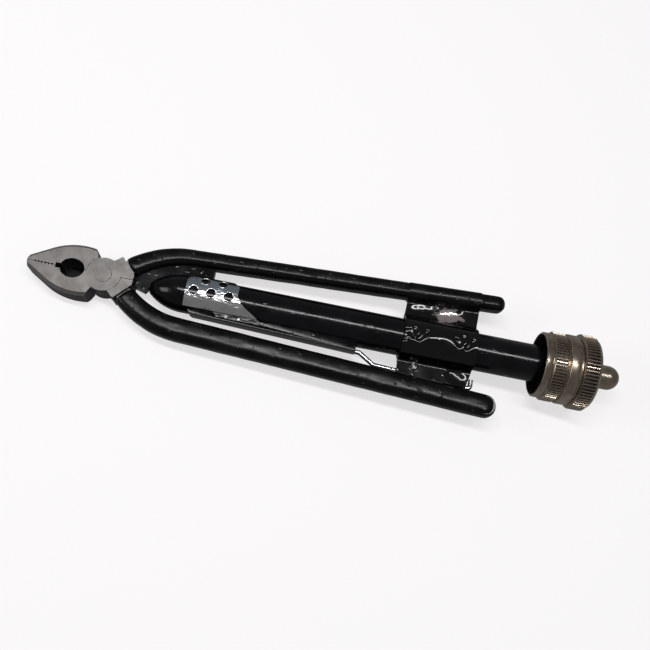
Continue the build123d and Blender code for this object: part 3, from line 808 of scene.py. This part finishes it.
def distance_to_line(point, line):
    """How far a flat point is from a line of flat points."""
    nearest = 1000
    for start, end in zip(line, line[1:]):
        start, end = Vector(start), Vector(end)
        share = (point - start).dot(end - start) / (end - start).length_squared
        nearest = min(nearest, (point - start.lerp(end, max(0, min(1, share)))).length)
    return nearest


def press(piece, line, core, reach, depth):
    """Push the top down along a line of flat points, with the ground round it drawn down smoothly."""
    pick_points(piece, lambda co: co.z > UPPER_SIDE_Z and distance_to_line(co.xy, line) < core)
    bpy.ops.transform.translate(
        value=(0, 0, -depth), use_proportional_edit=True, proportional_edit_falloff="SMOOTH", proportional_size=reach,
    )


def subdivide_long_edges(piece, longer_than, direction, cuts):
    """Divide the edges that run along one direction for more than a length."""
    mesh = bmesh.from_edit_mesh(piece.data)
    bpy.ops.mesh.select_mode(type="EDGE")
    bpy.ops.mesh.select_all(action="DESELECT")
    for edge in mesh.edges:
        edge.select_set(abs((edge.verts[1].co - edge.verts[0].co).dot(direction)) > longer_than)
    bmesh.update_edit_mesh(piece.data)
    bpy.ops.mesh.subdivide(number_cuts=cuts)


def fold_sheet():
    """The plate's flat strip, carried edge by edge along its line and divided into fine squares."""
    (y0, z0), (y1, _), *rest = plate_line()
    bpy.ops.mesh.primitive_plane_add(size=1, location=(PLATE_MIDDLE, (y0 + y1) / 2, z0))
    plate = bpy.context.object
    plate.scale = (PLATE_END - PLATE_START, y1 - y0, 1)
    bpy.ops.object.transform_apply(location=True, rotation=True, scale=True)
    edit(plate, "EDGE")
    pick_points(plate, lambda co: co.y > (y0 + y1) / 2)
    bpy.ops.mesh.select_mode(type="EDGE")
    y, z = y1, z0
    for next_y, next_z in rest:
        bpy.ops.mesh.extrude_region_move(TRANSFORM_OT_translate={"value": (0, next_y - y, next_z - z)})
        y, z = next_y, next_z
    pick_points(plate, lambda co: co.y > HANDLE_ROOT_Y - 0.1)
    turn_about_z(TAIL_ANGLE, (PLATE_MIDDLE, HANDLE_MIDDLE_Y, 0))
    pick_points(plate, lambda co: co.y < WING_EDGE_Y + 0.1)
    turn_about_z(-TAIL_ANGLE, (PLATE_MIDDLE, WING_EDGE_Y, 0))
    pick_points(plate, lambda co: co.y < WING_ROOT_Y - 1 and co.x > PLATE_MIDDLE)
    bpy.ops.transform.translate(value=(-WING_SLANT, 0, 0))
    subdivide_long_edges(plate, ROW_LENGTH, Vector((0, 1, 0)), ROW_CUTS)
    subdivide_long_edges(plate, COLUMN_LENGTH, Vector((1, 0, 0)), PLATE_COLUMNS)
    bpy.ops.mesh.select_all(action="SELECT")
    bpy.ops.mesh.normals_make_consistent(inside=False)
    return plate


def press_marks(plate):
    """Stake marks and dents, with the ground near them smoothed."""
    for mark in STAKE_MARKS:
        press(plate, mark, STAKE_CORE, STAKE_REACH, STAKE_DEPTH)
    for line, reach, depth in DENTS:
        press(plate, line, DENT_CORE, reach, depth)
    marked = [(mark, STAKE_SOFTENED) for mark in STAKE_MARKS] + [(line, reach) for line, reach, _ in DENTS]

    def near_mark(co):
        """Whether a point of the upper side is within reach of a stake mark or a dent."""
        return co.z > UPPER_SIDE_Z and any(distance_to_line(co.xy, line) < reach for line, reach in marked)

    pick_points(plate, near_mark)
    bpy.ops.mesh.vertices_smooth(factor=0.5, repeat=2)


def sink_window(plate):
    """The small window in the wing: a raised lip round a sunken pane of bare metal."""
    window = Vector(WINDOW_CENTRE)
    pick_faces(plate, lambda centre, normal: max(abs(centre.x - window.x), abs(centre.y - window.y)) < WINDOW_HALF)
    bpy.ops.mesh.inset(thickness=0.35, depth=0.4)
    paint_faces(plate, 1)
    bpy.ops.mesh.inset(thickness=0.3, depth=-0.5)


def build_cross_plate():
    """The pressed plate that ties the tube to the upper handle, with its window, stake marks and dents."""
    plate = fold_sheet()
    press_marks(plate)
    sink_window(plate)
    pick_faces(plate, lambda centre, normal: centre.y > HANDLE_ROOT_Y + 0.6)
    paint_faces(plate, 2)
    apply_modifier(plate, "SUBSURF", levels=1, render_levels=1)
    apply_modifier(plate, "SOLIDIFY", thickness=PLATE_SHEET, offset=-1)
    finishes = (WORN_ENAMEL, DRAWN, DIP)
    finish_piece(plate, "pressed_cross_plate", "front_half", finishes, ("cross_plate",), 50)


build_pull_knob()
build_handle(1, 3.5, 3.25, "dipped_upper_handle", "front_half", "upper_handle_grip")
build_handle(-1, 4.6, 4.5, "dipped_lower_handle", "back_half", "lower_handle_grip")
build_cross_plate()
build_latch_bar()
build_hole_rims()
build_spring()


# ---------------------------------------------------------------- stage

FLOOR_CLEARANCE = 0.0002
FLOOR_GLOW = 0.66
FLOOR_GLOW_COLOUR = (1, 0.985, 0.992)
FLOOR_COLOUR = (0.4, 0.396, 0.4)
FLOOR_IN_REFLECTIONS = 0.22
# Painted shadow on the floor round the wire nest: its colour and glow go towards this dark as an occlusion mask
# falls. Reflections of the floor dim towards it too.
PAINTED_SHADE_COLOUR = (0.02, 0.02, 0.02)
SHADOW_OCCLUSION_RANGE = (0.25, 0.55)
NEST_SHADOW_CENTRE = (-0.016, 0.0012, -0.0008)
NEST_SHADOW_RANGE = (0.0070, 0.0088)
ROOM_LIGHT = 0.16


def floor_material():
    """Pale glowing ground, dimmer in reflections, with a painted shadow under the jaws round the wire nest: an
    occlusion mask darkens the colour and glow there.
    """
    material, tree, shader = new_material("pale_floor")
    shader.inputs["Roughness"].default_value = 0.85
    shader.inputs["Specular IOR Level"].default_value = 0.1
    covered = tree.nodes.new("ShaderNodeAmbientOcclusion")
    covered.inputs["Distance"].default_value = 0.03
    covered.samples = 16
    geometry = tree.nodes.new("ShaderNodeNewGeometry")
    away = tree.nodes.new("ShaderNodeVectorMath")
    away.operation = "DISTANCE"
    tree.links.new(geometry.outputs["Position"], away.inputs[0])
    away.inputs[1].default_value = NEST_SHADOW_CENTRE
    # painted shadow: the occlusion mask darkens the floor only within reach of the wire nest under the jaws
    unoccluded = ramp(tree, covered.outputs["AO"], *SHADOW_OCCLUSION_RANGE)
    unshaded_share = math_node(tree, "MAXIMUM", unoccluded, ramp(tree, away.outputs["Value"], *NEST_SHADOW_RANGE))
    path = tree.nodes.new("ShaderNodeLightPath")
    mirrored = ramp(tree, path.outputs["Is Glossy Ray"], 0.0, 1.0, 1.0, FLOOR_IN_REFLECTIONS)
    unshaded_share = math_node(tree, "MULTIPLY", unshaded_share, mirrored)
    # painted shade: where the share is low, the floor's colour and glow are darkened
    tree.links.new(mix_colour(tree, unshaded_share, PAINTED_SHADE_COLOUR, FLOOR_COLOUR), shader.inputs["Base Color"])
    tree.links.new(mix_colour(tree, unshaded_share, (0, 0, 0), FLOOR_GLOW_COLOUR), shader.inputs["Emission Color"])
    shader.inputs["Emission Strength"].default_value = FLOOR_GLOW
    return material


def lay_floor():
    """A floor on which the jaw tips and the knob rest, so it slopes a little in the tool's frame."""
    head_low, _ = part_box("front_half_forging")
    _, knob_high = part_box("pull_knob")
    slope = atan2(head_low.z - cad_box[0][2], knob_high.x - head_low.x)
    place = (head_low.x, 0, head_low.z - FLOOR_CLEARANCE)
    bpy.ops.mesh.primitive_plane_add(size=6, location=place, rotation=(0, slope, 0))
    floor = bpy.context.object
    floor.name = "floor"
    floor.data.materials.append(floor_material())


def light_room():
    """Even white light from all round."""
    world = bpy.data.worlds.new("studio")
    bpy.context.scene.world = world
    world.use_nodes = True
    background = world.node_tree.nodes["Background"]
    background.inputs["Color"].default_value = (1, 1, 1, 1)
    background.inputs["Strength"].default_value = ROOM_LIGHT


def hang_light(name, place, target, size_x, size_y, power):
    """A rectangular lamp that faces its target."""
    light = bpy.data.lights.new(name, "AREA")
    light.shape = "RECTANGLE"
    light.size = size_x
    light.size_y = size_y
    light.energy = power
    holder = bpy.data.objects.new(name, light)
    holder.location = place
    holder.rotation_euler = (Vector(target) - Vector(place)).to_track_quat("-Z", "Y").to_euler()
    bpy.context.scene.collection.objects.link(holder)


def place_camera():
    """The camera, above the tool and looking down on it."""
    camera = bpy.data.objects.new("camera", bpy.data.cameras.new("camera"))
    camera.location = (0.0802, -0.0942, 0.3037)
    camera.rotation_euler = tuple(radians(a) for a in (16.75, -4.54, 10.36))
    camera.data.lens = 44.3
    camera.data.sensor_width = 36
    camera.data.clip_start = 0.01
    bpy.context.scene.collection.objects.link(camera)
    bpy.context.scene.camera = camera
    bpy.context.scene.view_settings.view_transform = "Standard"


lay_floor()
light_room()
hang_light("key_strip", place=(0.1, 0.08, 0.75), target=(0.09, 0, 0), size_x=0.7, size_y=0.05, power=3.4)
hang_light("left_fill", place=(-0.6, -0.1, 0.5), target=(0, 0, 0), size_x=0.3, size_y=0.3, power=1.2)
place_camera()
